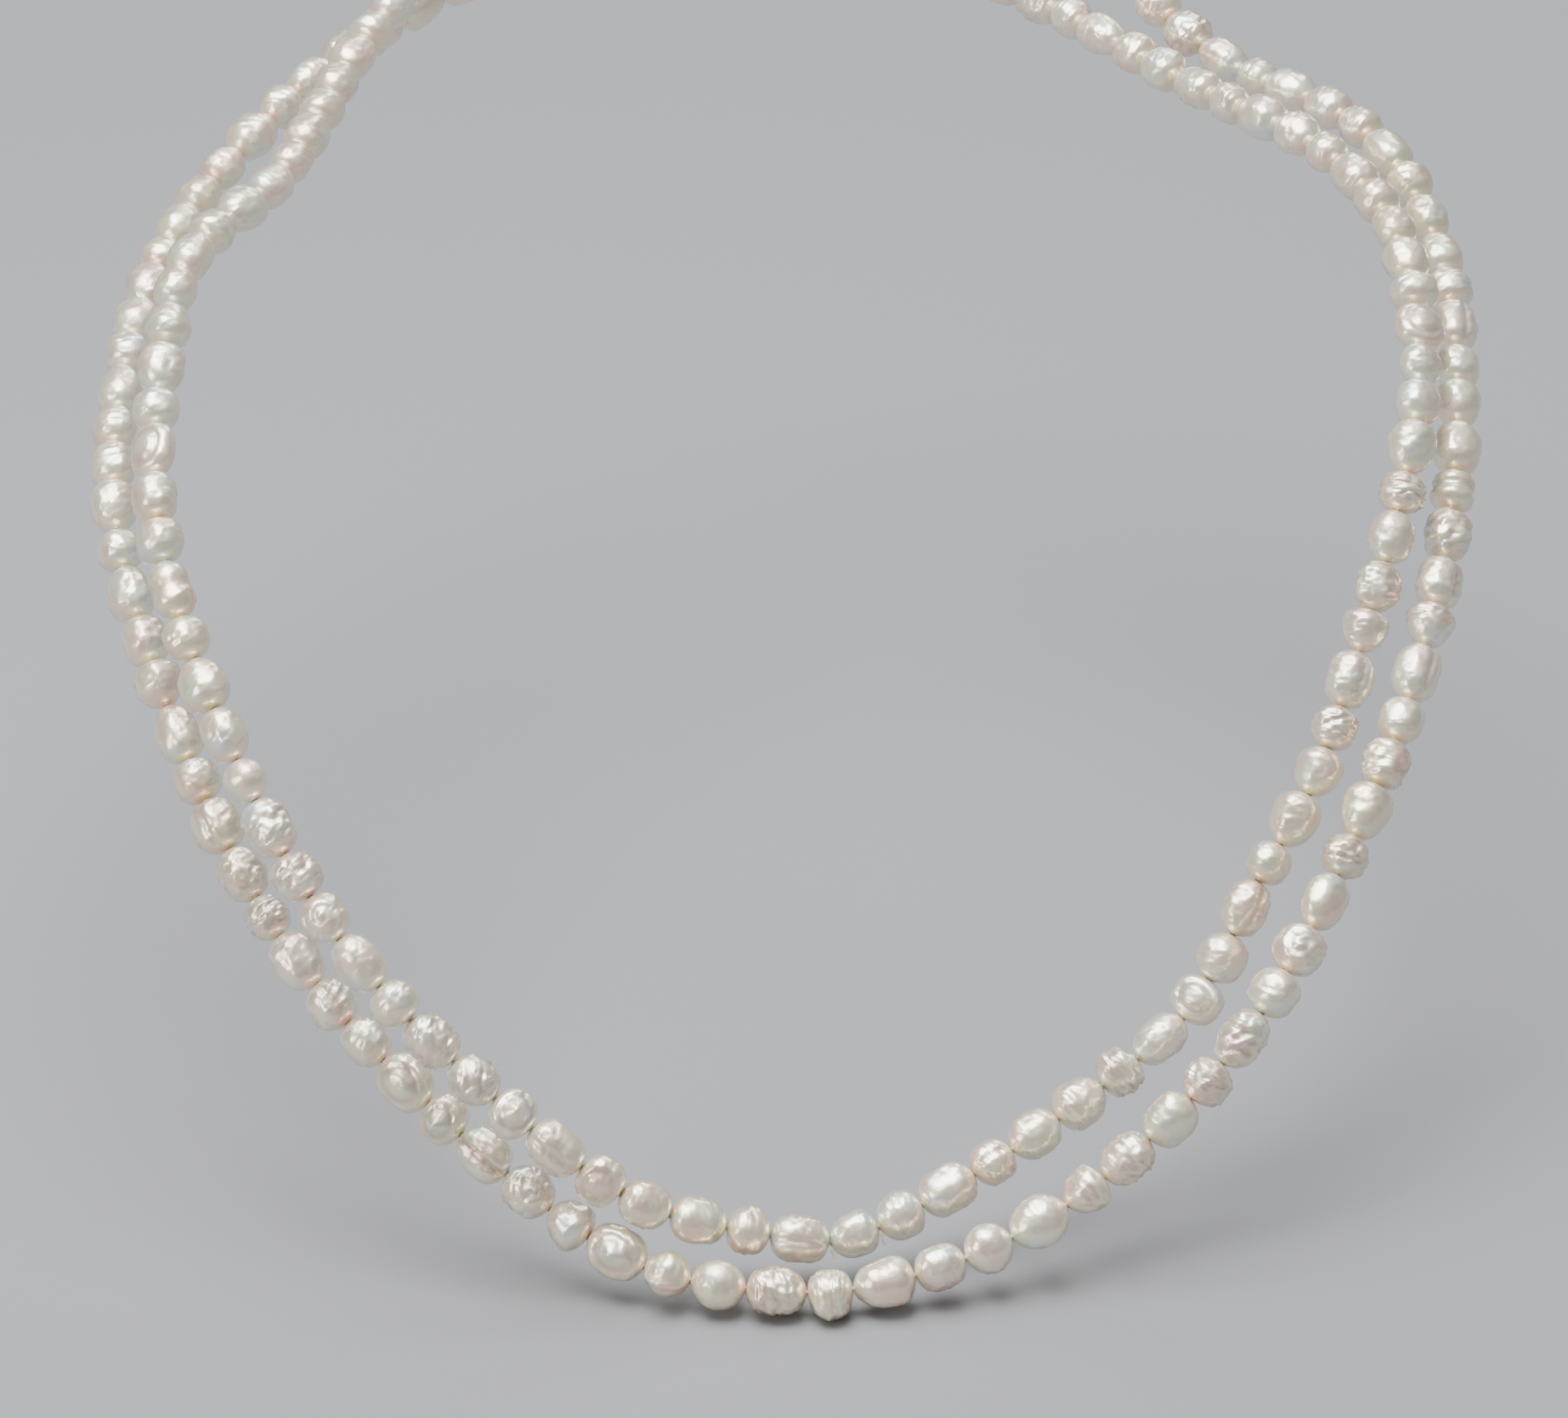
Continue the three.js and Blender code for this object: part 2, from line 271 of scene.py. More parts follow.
# The skin is a grid: Around steps round the drill axis, and Along stations from one rim of
# the hole over the outside to the other, the last two being inside the hole.
round_axis = pearl_tree.nodes.new("GeometryNodeCurvePrimitiveCircle")
outline = pearl_tree.nodes.new("GeometryNodeCurvePrimitiveCircle")
pearl_tree.links.new(size["Around"], round_axis.inputs["Resolution"])
pearl_tree.links.new(size["Along"], outline.inputs["Resolution"])
outline.inputs["Radius"].default_value = 0.1
sweep = pearl_tree.nodes.new("GeometryNodeCurveToMesh")
pearl_tree.links.new(round_axis.outputs[0], sweep.inputs["Curve"])
pearl_tree.links.new(outline.outputs[0], sweep.inputs["Profile Curve"])
index = pearl_tree.nodes.new("GeometryNodeInputIndex").outputs[0]
station = m("FLOORED_MODULO", index, size["Along"])
turn = m("MULTIPLY", m("FLOOR", m("DIVIDE", m("ADD", index, 0.5), size["Along"])),
         m("DIVIDE", math.tau, size["Around"]))
last = m("SUBTRACT", size["Along"], 3.0)
in_hole = m("GREATER_THAN", station, m("ADD", last, 0.5))
x = m("MULTIPLY", m("COSINE", m("MULTIPLY", m("DIVIDE", station, last), math.pi)), -1.0)
x = m("MINIMUM", m("MAXIMUM", x, -1.0), 1.0)
cos_t, sin_t = m("COSINE", turn), m("SINE", turn)
ball = m("SQRT", m("MAXIMUM", m("SUBTRACT", 1.0, m("MULTIPLY", x, x)), 0.0))
where = vector(x, m("MULTIPLY", ball, cos_t), m("MULTIPLY", ball, sin_t))
swell = m("SUBTRACT", 1.0, m("POWER", m("ABSOLUTE", x), size["Bluntness"]))
swell = m("SQRT", m("MAXIMUM", swell, 0.0))
edges = pearl_tree.nodes.new("ShaderNodeTexVoronoi")
edges.voronoi_dimensions, edges.feature = "4D", "DISTANCE_TO_EDGE"
edges.inputs["Scale"].default_value = 1.25
pearl_tree.links.new(where, edges.inputs["Vector"])
pearl_tree.links.new(size["Seed"], edges.inputs["W"])
crease = bell(edges.outputs["Distance"], 0.0, 0.13)
ripple = m("SINE", m("ADD", m("MULTIPLY", x, m("MULTIPLY", size["Wrinkle Count"], math.pi)),
                     m("MULTIPLY", noise(where, 0.9, 31.0), 4.0)))
ripple = m("MULTIPLY", ripple, m("ADD", 0.5, m("MULTIPLY", noise(where, 1.3, 57.0), 0.9)))
slant = vector(m("ADD", m("MULTIPLY", x, 2.3), m("MULTIPLY", m("MULTIPLY", ball, cos_t), 0.8)),
               m("MULTIPLY", ball, cos_t), m("MULTIPLY", ball, sin_t))
ridge = m("MULTIPLY", m("ABSOLUTE", noise(slant, 1.25, 71.0, 2.0)), 3.6)
ridge = m("SUBTRACT", 1.0, m("MINIMUM", ridge, 1.0))
area = m("ADD", 0.60, m("MULTIPLY", noise(where, 0.8, 91.0), 2.2))
area = m("MINIMUM", m("MAXIMUM", area, 0.0), 1.0)
crinkle = m("MULTIPLY", m("MULTIPLY", size["Crinkle"], area),
            m("SUBTRACT", m("POWER", ridge, 1.6), 0.3))
shape = m("ADD", 1.0, m("MULTIPLY", size["Taper"], x))
shape = m("MULTIPLY", shape, m("ADD", 1.0, crinkle))
shape = m("MULTIPLY", shape, m("SUBTRACT", 1.0, m("MULTIPLY", size["Waist"], bell(x, 0.0, 0.3))))
shape = m("MULTIPLY", shape, m("ADD", 1.0, m("MULTIPLY", size["Lumps"], noise(where, 0.85, 3.0))))
small_lumps = m("MULTIPLY", m("MULTIPLY", size["Lumps"], 0.6), noise(where, 2.1, 17.0))
shape = m("MULTIPLY", shape, m("ADD", 1.0, small_lumps))
shape = m("MULTIPLY", shape, m("SUBTRACT", 1.0, m("MULTIPLY", size["Folds"], crease)))
shape = m("MULTIPLY", shape, m("ADD", 1.0, m("MULTIPLY", size["Wrinkles"], ripple)))
reach = m("MULTIPLY", swell, shape)
across, up = m("MULTIPLY", reach, cos_t), m("MULTIPLY", reach, sin_t)
half_w, half_t = m("MULTIPLY", size["Width"], 0.5), m("MULTIPLY", size["Thickness"], 0.5)
y = m("MULTIPLY", cos_t, m("MAXIMUM", m("MULTIPLY", reach, half_w), size["Hole"]))
z = m("MULTIPLY", sin_t, m("MAXIMUM", m("MULTIPLY", reach, half_t), size["Hole"]))
y = m("ADD", y, m("MULTIPLY", m("MULTIPLY", size["Bow"], half_w), m("MULTIPLY", ball, ball)))
# Marks on the face that looks outwards: a rim, a nub, a groove and a spiral
face = pearl_tree.nodes.new("ShaderNodeMapRange")
face.interpolation_type = "SMOOTHSTEP"
pearl_tree.links.new(up, face.inputs["Value"])
face.inputs["From Min"].default_value, face.inputs["From Max"].default_value = 0.15, 0.65
off = m("SQRT", m("ADD", m("MULTIPLY", x, x), m("MULTIPLY", across, across)))
whorl = m("SINE", m("ADD", m("MULTIPLY", off, 13.0), m("ARCTAN2", across, x)))
marks = m("SUBTRACT", m("MULTIPLY", size["Nub"], bell(off, 0.0, 0.24)),
          m("MULTIPLY", size["Rim"], bell(off, 0.62, 0.16)))
marks = m("SUBTRACT", marks, m("MULTIPLY", size["Groove"], bell(across, 0.12, 0.16)))
marks = m("ADD", marks, m("MULTIPLY", size["Spiral"], whorl))
z = m("ADD", z, m("MULTIPLY", m("MULTIPLY", half_t, face.outputs[0]), marks))
hole_x = m("SUBTRACT", 0.45, m("MULTIPLY", 0.9, m("SUBTRACT", station, m("ADD", last, 1.0))))


def pick(outside, inside):
    return m("ADD", m("MULTIPLY", outside, m("SUBTRACT", 1.0, in_hole)), m("MULTIPLY", inside, in_hole))


place = vector(
    m("MULTIPLY", pick(x, hole_x), m("MULTIPLY", size["Length"], 0.5)),
    pick(y, m("MULTIPLY", cos_t, size["Hole"])),
    pick(z, m("MULTIPLY", sin_t, size["Hole"])),
)
moved = pearl_tree.nodes.new("GeometryNodeSetPosition")
pearl_tree.links.new(sweep.outputs[0], moved.inputs["Geometry"])
pearl_tree.links.new(place, moved.inputs["Position"])
# Painted shade: how deep each spot lies in a crease, fold, wrinkle trough or pit, stored on the skin so
# that the nacre's colour darkens there
recess_shade = m("ADD", m("MULTIPLY", m("MULTIPLY", size["Folds"], crease), 7.0),
           m("MAXIMUM", m("MULTIPLY", m("MULTIPLY", ripple, size["Wrinkles"]), -7.0), 0.0))
recess_shade = m("ADD", recess_shade, m("MAXIMUM", m("MULTIPLY", m("MULTIPLY", marks, face.outputs[0]), -4.0), 0.0))
recess_shade = m("ADD", recess_shade, m("MAXIMUM", m("MULTIPLY", crinkle, -14.0), 0.0))
last_geometry = moved.outputs[0]
for label, value in (("recess_shade", recess_shade), ("tint", size["Tint"])):
    keep = pearl_tree.nodes.new("GeometryNodeStoreNamedAttribute")
    keep.inputs["Name"].default_value = label
    pearl_tree.links.new(last_geometry, keep.inputs["Geometry"])
    pearl_tree.links.new(value, keep.inputs["Value"])
    last_geometry = keep.outputs[0]
close_tree(pearl_tree, last_geometry, size["Material"], pearl_end)

nacre = bpy.data.materials.new("nacre")
nacre.use_nodes = True
nt = nacre.node_tree
skin = nt.nodes["Principled BSDF"]


def tex(tree, kind, scale, detail=2.0, **more):
    """A pattern on the piece's own Object coordinates."""
    node = tree.nodes.new(kind)
    node.inputs["Scale"].default_value = scale
    if "Detail" in node.inputs:
        node.inputs["Detail"].default_value = detail
    for label, value in more.items():
        node.inputs[label].default_value = value
    coordinates = tree.nodes.new("ShaderNodeTexCoord").outputs["Object"]
    tree.links.new(coordinates, node.inputs["Vector"])
    return node


def ramp(tree, value, *stops):
    """A colour for each value, blended between the stops."""
    node = tree.nodes.new("ShaderNodeValToRGB")
    while len(node.color_ramp.elements) < len(stops):
        node.color_ramp.elements.new(0.5)
    for element, (at, color) in zip(node.color_ramp.elements, stops):
        element.position, element.color = at, (*color, 1)
    tree.links.new(value, node.inputs[0])
    return node.outputs[0]


def mix(tree, share, a, b):
    """One colour blended into another."""
    node = tree.nodes.new("ShaderNodeMix")
    node.data_type = "RGBA"
    for socket, value in zip((node.inputs[0], node.inputs[6], node.inputs[7]), (share, a, b)):
        if isinstance(value, bpy.types.NodeSocket):
            tree.links.new(value, socket)
        else:
            socket.default_value = value if isinstance(value, float) else (*value, 1)
    return node.outputs[2]


def attribute(tree, name):
    """A value that the pearl tree stored on the skin."""
    node = tree.nodes.new("ShaderNodeAttribute")
    node.attribute_name = name
    return node.outputs["Fac"]


body_color = ramp(nt, attribute(nt, "tint"), (0.0, (0.97, 0.86, 0.63)), (0.3, (0.98, 0.90, 0.72)),
                  (0.6, (0.97, 0.85, 0.67)), (1.0, (0.94, 0.80, 0.54)))
# Random patches of rose, ivory, green and blue: partly the nacre's own tint, partly a painted iridescent
# sheen standing in for the overtones of light reflected by the nacre
tint_and_overtone_sheen = ramp(nt, tex(nt, "ShaderNodeTexNoise", 300, 1.5).outputs[0], (0.37, (0.97, 0.64, 0.60)),
             (0.45, (0.97, 0.86, 0.70)), (0.55, (0.97, 0.88, 0.74)), (0.61, (0.74, 0.93, 0.70)),
             (0.69, (0.74, 0.84, 1.00)))
body_color = mix(nt, 0.46, body_color, tint_and_overtone_sheen)
# Painted shade: the colour darkens to a warm grey-beige where the skin lies deep in creases, folds and
# pits
shade = calc(nt, "MINIMUM", calc(nt, "MULTIPLY", attribute(nt, "recess_shade"), 0.75), 0.85)
body_color = mix(nt, shade, body_color, (0.60, 0.44, 0.36))
nt.links.new(body_color, skin.inputs["Base Color"])
cloud = tex(nt, "ShaderNodeTexNoise", 500, 3.0).outputs[0]
nt.links.new(calc(nt, "ADD", 0.19, calc(nt, "MULTIPLY", cloud, 0.22)), skin.inputs["Roughness"])
growth = tex(nt, "ShaderNodeTexNoise", 1500, 3.0, Distortion=1.2).outputs[0]
slow = tex(nt, "ShaderNodeTexNoise", 420, 1.0).outputs[0]
bump = nt.nodes.new("ShaderNodeBump")
bump.inputs["Strength"].default_value = 0.45
bump.inputs["Distance"].default_value = 0.00025
nt.links.new(calc(nt, "ADD", calc(nt, "MULTIPLY", growth, 0.25), slow), bump.inputs["Height"])
nt.links.new(bump.outputs[0], skin.inputs["Normal"])
# The orient: films of nacre that are thicker here and thinner there, in nanometres
orient = tex(nt, "ShaderNodeTexNoise", 230, 2.0).outputs[0]
film = calc(nt, "ADD", 230.0, calc(nt, "MULTIPLY", orient, 400.0))
nt.links.new(film, skin.inputs["Thin Film Thickness"])
for label, value in (
    ("Metallic", 0.62), ("IOR", 1.66), ("Coat Weight", 0.36), ("Coat Roughness", 0.15),
    ("Coat IOR", 1.60), ("Subsurface Weight", 0.15), ("Subsurface Scale", 0.0012),
    ("Thin Film IOR", 1.72), ("Specular Tint", (0.88, 0.94, 1.0, 1)),
):
    skin.inputs[label].default_value = value

# Width and thickness as shares of the strand's pearl width, then the marks of each kind:
# o plain oval, e and g egg, b button, n nubbed button, c creased barrel, d diamond, l waisted,
# h heart, k bowed, r rough, s ridged spindle, t tapered, v spiralled, w wrinkled
KINDS = {
    "o": dict(),
    "e": dict(Taper=-0.15, Bluntness=2.7),
    "g": dict(Taper=0.15, Bluntness=2.7, Crinkle=0.07),
    "b": dict(w=1.13, t=0.80, Bluntness=3.0, Rim=0.14, Lumps=0.06, Crinkle=0.03),
    "n": dict(w=1.07, t=0.86, Bluntness=2.8, Rim=0.14, Nub=0.26, Lumps=0.07),
    "c": dict(w=1.0, Bluntness=3.2, Groove=0.10, Lumps=0.10, Crinkle=0.08),
    "d": dict(w=1.06, t=0.90, Bluntness=1.85, Lumps=0.07, Crinkle=0.04),
    "l": dict(w=1.0, Bluntness=3.0, Waist=0.14, Lumps=0.12, Crinkle=0.09),
    "h": dict(w=1.04, Bluntness=2.8, Groove=0.30, Taper=-0.10, Lumps=0.10),
    "k": dict(w=1.0, Bluntness=3.0, Bow=0.14, Wrinkles=0.02, Crinkle=0.10, **{"Wrinkle Count": 9.0}),
    "r": dict(w=1.05, t=0.96, Bluntness=2.6, Lumps=0.14, Folds=0.06, Crinkle=0.13),
    "s": dict(w=0.97, Bluntness=1.9, Groove=-0.13, Crinkle=0.02),
    "t": dict(w=1.0, Bluntness=2.7, Taper=-0.24, Folds=0.03, Lumps=0.11, Crinkle=0.10),
    "v": dict(w=1.02, t=0.88, Bluntness=2.7, Spiral=0.04, Nub=0.12, Lumps=0.10, Crinkle=0.09),
    "w": dict(w=1.0, Bluntness=2.9, Wrinkles=0.035, Lumps=0.11, Folds=0.04, Crinkle=0.14,
              **{"Wrinkle Count": 5.5}),
}
STRANDS = {
    # route, order, pearl width, drift, pearls in each run of the right, front and left part
    "outer": (OUTER_ROUTE, OUTER_ORDER, 5.25, 0.3,
              ((5, 5, 5, 6), (5, 5, 5, 5, 6, 5, 5, 5, 5), (6, 5, 5, 5))),
    "inner": (INNER_ROUTE, INNER_ORDER, 5.15, 0.8,
              ((5, 5, 5, 5), (5, 5, 6, 5, 6, 5, 6, 5, 5), (5, 5, 5, 4))),
}
HINGE_ROOM = 0.27 * MM  # left free where a front lobe bends off its shoulder
PEARL_ROOM = 0.03 * MM  # between any other two pearls
strand_paths = {}
for strand, (route, order, width, drift, parts) in STRANDS.items():
    length, point = path_of(route)
    strand_paths[strand] = (length, point, len(order), drift, parts)
    runs = [(f"{strand}_run_{k + 1:02d}", "back" if part != 1 else f"{strand}_front", count)
            for k, (part, count) in enumerate((part, count) for part in range(3) for count in parts[part])]
    number = 0
    for run, body, count in runs:
        for _ in range(count):
            kind = dict(KINDS[order[number]])
            hinges = (sum(parts[0]), len(order) - sum(parts[2]))
            room = [HINGE_ROOM if number + j in hinges else PEARL_ROOM for j in (0, 1)]
            start = point(edge(number, len(order), length, drift) + room[0])
            stop = point(edge(number + 1, len(order), length, drift) - room[1])
            along = (stop - start).normalized()
            middle = (start + stop) / 2
            out = middle - BUST
            out = (out - along * out.dot(along)).normalized()
            roll = 0.45 * math.sin(5.1 * number + len(strand))
            out = Matrix.Rotation(roll, 3, along) @ out
            side = out.cross(along)
            wobble = 1 + 0.04 * math.sin(1.7 * number) + 0.025 * math.sin(4.3 * number + 1)
            wide = width * MM * kind.pop("w", 1.0) * wobble
            thick = width * MM * kind.pop("t", 0.93) * wobble
            sizes = {"Lumps": 0.12, "Crinkle": 0.05, "Wrinkles": 0.006, **kind}
            mesh = grow(
                pearl_tree, f"pearl_{strand}_{number + 1:02d}", nacre,
                Length=(stop - start).length, Width=wide, Thickness=thick,
                Tint=0.5 + 0.5 * math.sin(12.9898 * number + 3.1 * len(strand) + 2.0 * width),
                Seed=float(11.7 * number + (400 if strand == "inner" else 0)), **sizes,
            )
            mesh.transform(Matrix((
                (along.x, side.x, out.x, middle.x), (along.y, side.y, out.y, middle.y),
                (along.z, side.z, out.z, middle.z), (0, 0, 0, 1))))
            show(mesh.name, mesh, body, "pearl", run)
            number += 1

# Thread: one length of plied ivory silk through each strand, cut here where a front lobe
# hinges. Its ends run on to a knot and the French wire. Two frayed ends show in front.
CLASP_Y, RING_X, RING_R = 52, 7.4, 2.4
GIMP_Y = 0.55  # the two French wire loops on a ring lie this far to each side of its middle
KNOT_REACH, THREAD_REACH = 2.2, 1.25  # the knot, and the thread's tip, out from the loop
PLIES, PLY_SIDES = 3, 15
thread_tree, size, thread_end = new_tree(
    "plied_thread", True, Radius=0.0002, Turn=0.0011, Step=0.00015)
to_curve = thread_tree.nodes.new("GeometryNodeMeshToCurve")
resample = thread_tree.nodes.new("GeometryNodeResampleCurve")
resample.mode = "LENGTH"
twisted = thread_tree.nodes.new("GeometryNodeSetCurveTilt")
distance = thread_tree.nodes.new("GeometryNodeSplineParameter")
ply = thread_tree.nodes.new("GeometryNodeCurvePrimitiveCircle")
ply.inputs["Resolution"].default_value = PLY_SIDES
lobes = thread_tree.nodes.new("GeometryNodeSetPosition")
spot = thread_tree.nodes.new("GeometryNodeInputPosition")
corner = thread_tree.nodes.new("GeometryNodeInputIndex")
scale = thread_tree.nodes.new("ShaderNodeVectorMath")
scale.operation = "SCALE"
tube = thread_tree.nodes.new("GeometryNodeCurveToMesh")
tube.inputs["Fill Caps"].default_value = True
bulge = calc(thread_tree, "MULTIPLY", corner.outputs[0], PLIES * math.tau / PLY_SIDES)
bulge = calc(thread_tree, "MULTIPLY", calc(thread_tree, "COSINE", bulge), 0.14)
lobed = calc(thread_tree, "MULTIPLY", size["Radius"], calc(thread_tree, "ADD", 0.86, bulge))
twist = calc(thread_tree, "DIVIDE", distance.outputs["Length"], size["Turn"])
twist = calc(thread_tree, "MULTIPLY", twist, math.tau)
for a, b in (
    (size["Path"], to_curve.inputs[0]), (to_curve.outputs[0], resample.inputs["Curve"]),
    (size["Step"], resample.inputs["Length"]), (resample.outputs[0], twisted.inputs["Curve"]),
    (twist, twisted.inputs["Tilt"]), (ply.outputs[0], lobes.inputs["Geometry"]),
    (spot.outputs[0], scale.inputs[0]), (lobed, scale.inputs["Scale"]),
    (scale.outputs[0], lobes.inputs["Position"]), (twisted.outputs[0], tube.inputs["Curve"]),
    (lobes.outputs[0], tube.inputs["Profile Curve"]),
):
    thread_tree.links.new(a, b)
close_tree(thread_tree, tube.outputs[0], size["Material"], thread_end)


def along_path(tree, name, points, material, closed=False, **sizes):
    """Runs a tree that follows a path given as points in millimetres."""
    path = bpy.data.meshes.new(name + "_path")
    links = [(i, i + 1) for i in range(len(points) - 1)]
    if closed:
        links.append((len(points) - 1, 0))
    path.from_pydata([Vector(p) * MM for p in points], links, [])
    return grow(tree, name, material, path=path, **sizes)


silk = bpy.data.materials.new("ivory_silk")
silk.use_nodes = True
st = silk.node_tree
fibre = st.nodes["Principled BSDF"]
st.links.new(ramp(st, tex(st, "ShaderNodeTexNoise", 1800, 3.0).outputs[0], (0.3, (0.62, 0.57, 0.47)),
                  (0.7, (0.84, 0.81, 0.73))), fibre.inputs["Base Color"])
lint = st.nodes.new("ShaderNodeBump")
lint.inputs["Strength"].default_value = 0.5
lint.inputs["Distance"].default_value = 0.00004
st.links.new(tex(st, "ShaderNodeTexNoise", 9000, 2.0).outputs[0], lint.inputs["Height"])
st.links.new(lint.outputs[0], fibre.inputs["Normal"])
fibre.inputs["Roughness"].default_value = 0.8
fibre.inputs["Sheen Weight"].default_value = 0.4

strand_ends = {}
for strand, (length, point, count, drift, parts) in strand_paths.items():
    cuts = (0, sum(parts[0]), count - sum(parts[2]), count)
    for part, body in ((0, "back"), (1, f"{strand}_front"), (2, "back")):
        spots = [point(edge(i, count, length, drift)) / MM
                 for i in range(cuts[part], cuts[part + 1] + 1)]
        if part == 1:  # reaches just past each hinge, inside the next pearl's hole
            spots[0] += 0.25 * (spots[0] - spots[1]).normalized()
            spots[-1] += 0.25 * (spots[-1] - spots[-2]).normalized()
        else:
            end = spots[0] if part == 0 else spots[-1]
            side = 1 if part == 0 else -1
            up = 1 if end.z > 0 else -1
            loop = Vector((side * (RING_X + RING_R), CLASP_Y + up * GIMP_Y, 0))
            pull = (end - loop).normalized()
            strand_ends[f"{strand}_{'right' if side > 0 else 'left'}"] = (loop, pull)
            tail = [loop + pull * KNOT_REACH, loop + pull * THREAD_REACH]
            spots = tail[::-1] + spots if part == 0 else spots + tail
        name = f"{strand}_thread_{('right', 'front', 'left')[part]}"
        show(f"silk_{name}", along_path(thread_tree, name, spots, silk), body, "thread", name)
    if strand == "inner":
        # A tip of silk at each of two gaps, with six loose filaments: radius, reach, lean, curl
        for k, pearl in enumerate((44, 43)):
            root = point(edge(pearl, count, length, drift)) / MM
            fall = Vector((0.22 + 0.10 * k, -0.50, -0.84))
            frayed = [(0.17, 1.95, 0.0, 0.0)] + [
                (0.035, 2.15 + 0.35 * math.sin(2.3 * q + k),
                 0.25 * math.cos(1.9 * q), 0.30 * math.sin(1.9 * q))
                for q in range(6)
            ]
            for q, (radius, reach, lean, curl) in enumerate(frayed):
                spots = [
                    root + fall * (0.75 + (reach - 0.75) * t) + Vector((lean * t, -0.10, curl * t * t))
                    for t in (0.0, 0.25, 0.5, 0.75, 1.0)
                ]
                mesh = along_path(thread_tree, f"frayed_end_{k + 1}_{q + 1}", spots, silk,
                                  Radius=radius * MM)
                show(mesh.name, mesh, "inner_front", "thread", "inner_thread_front")

# Wire tree: round wire along a path, used for the knots' cord, the rings, the French wire
# and the spring, each with its own radius and number of sides.
wire_tree, size, wire_end = new_tree("drawn_wire", True, Radius=0.0004, Sides=12)
to_curve = wire_tree.nodes.new("GeometryNodeMeshToCurve")
gauge = wire_tree.nodes.new("GeometryNodeCurvePrimitiveCircle")
tube = wire_tree.nodes.new("GeometryNodeCurveToMesh")
tube.inputs["Fill Caps"].default_value = True
for a, b in (
    (size["Path"], to_curve.inputs[0]), (to_curve.outputs[0], tube.inputs["Curve"]),
    (size["Sides"], gauge.inputs["Resolution"]), (size["Radius"], gauge.inputs["Radius"]),
    (gauge.outputs[0], tube.inputs["Profile Curve"]),
):
    wire_tree.links.new(a, b)
close_tree(wire_tree, tube.outputs[0], size["Material"], wire_end)

# Knots: one tight overhand knot in the silk at each strand end, against the French wire.
for name, (loop, pull) in strand_ends.items():
    centre = loop + pull * KNOT_REACH
    facing = pull.to_track_quat("Z", "Y").to_matrix()
    spots = []
    for k in range(72):
        t = math.tau * k / 72
        trefoil = Vector((math.sin(t) + 2 * math.sin(2 * t), math.cos(t) - 2 * math.cos(2 * t),
                          -1.3 * math.sin(3 * t)))
        spots.append(centre + facing @ trefoil * 0.13)
    mesh = along_path(wire_tree, f"overhand_{name}", spots, silk, closed=True,
                      Radius=0.00019, Sides=10)
    show(mesh.name, mesh, "back", "thread", f"knot_{name}")

# French wire: a hair-thin silvered coil slipped over the silk where it goes round a jump
# ring, so that the metal never rubs the thread.
gimp_metal = bpy.data.materials.new("french_wire")
gimp_metal.use_nodes = True
gt = gimp_metal.node_tree
coil_skin = gt.nodes["Principled BSDF"]
gt.links.new(ramp(gt, tex(gt, "ShaderNodeTexNoise", 1200, 2.0).outputs[0], (0.3, (0.62, 0.60, 0.56)),
                  (0.7, (0.86, 0.85, 0.83))), coil_skin.inputs["Base Color"])
coil_skin.inputs["Metallic"].default_value = 1.0
coil_skin.inputs["Roughness"].default_value = 0.28
GIMP_R, COIL_R, COIL_TURNS, COIL_STEPS = 1.05, 0.24, 46, 9
for name, (loop, pull) in strand_ends.items():
    spots = []
    for k in range(COIL_TURNS * COIL_STEPS):
        t = math.tau * k / (COIL_TURNS * COIL_STEPS)
        r = GIMP_R + COIL_R * math.cos(COIL_TURNS * t)
        y = COIL_R * math.sin(COIL_TURNS * t)
        spots.append(loop + Vector((r * math.cos(t), y, r * math.sin(t))))
    mesh = along_path(wire_tree, f"french_wire_{name}", spots, gimp_metal, closed=True,
                      Radius=0.000062, Sides=5)
    show(mesh.name, mesh, "back", "french_wire", f"gimp_{name}")

# Jump rings: polished silver-tone wire bent round and butted, the fine seam to one side.
# One stays in the clasp's eye, and the clasp's hook closes on the other.
silver = bpy.data.materials.new("polished_silver")
silver.use_nodes = True
vt = silver.node_tree
metal = vt.nodes["Principled BSDF"]
metal.inputs["Metallic"].default_value = 1.0
tarnish = tex(vt, "ShaderNodeTexNoise", 700, 4.0).outputs[0]
vt.links.new(ramp(vt, tarnish, (0.30, (0.66, 0.63, 0.58)), (0.55, (0.87, 0.87, 0.86))),
             metal.inputs["Base Color"])
haze = tex(vt, "ShaderNodeTexNoise", 2600, 3.0).outputs[0]
vt.links.new(calc(vt, "ADD", 0.10, calc(vt, "MULTIPLY", haze, 0.20)), metal.inputs["Roughness"])
rub = vt.nodes.new("ShaderNodeBump")
rub.inputs["Strength"].default_value = 0.12
rub.inputs["Distance"].default_value = 0.00003
vt.links.new(tex(vt, "ShaderNodeTexNoise", 3500, 2.0).outputs[0], rub.inputs["Height"])
vt.links.new(rub.outputs[0], metal.inputs["Normal"])
for name, side in (("ring_right", 1), ("ring_left", -1)):
    seam = math.radians(70)
    spots = []
    for k in range(73):
        t = seam + math.radians(1) + math.radians(358) * k / 72
        spots.append(Vector((side * (RING_X + RING_R * math.cos(t)),
                             CLASP_Y + RING_R * math.sin(t), 0)))
    mesh = along_path(wire_tree, f"jump_{name}", spots, silver, Radius=0.0004, Sides=20)
    show(mesh.name, mesh, "back", "silver", name)

# Clasp body: a small cast claw. Its eye is round the left ring and its hook round the
# right one. A slot is sawn down through its shoulder for the trigger, and drilled for a pin.
PIVOT = (-0.2, 0.9)
EYE_X = RING_R - RING_X


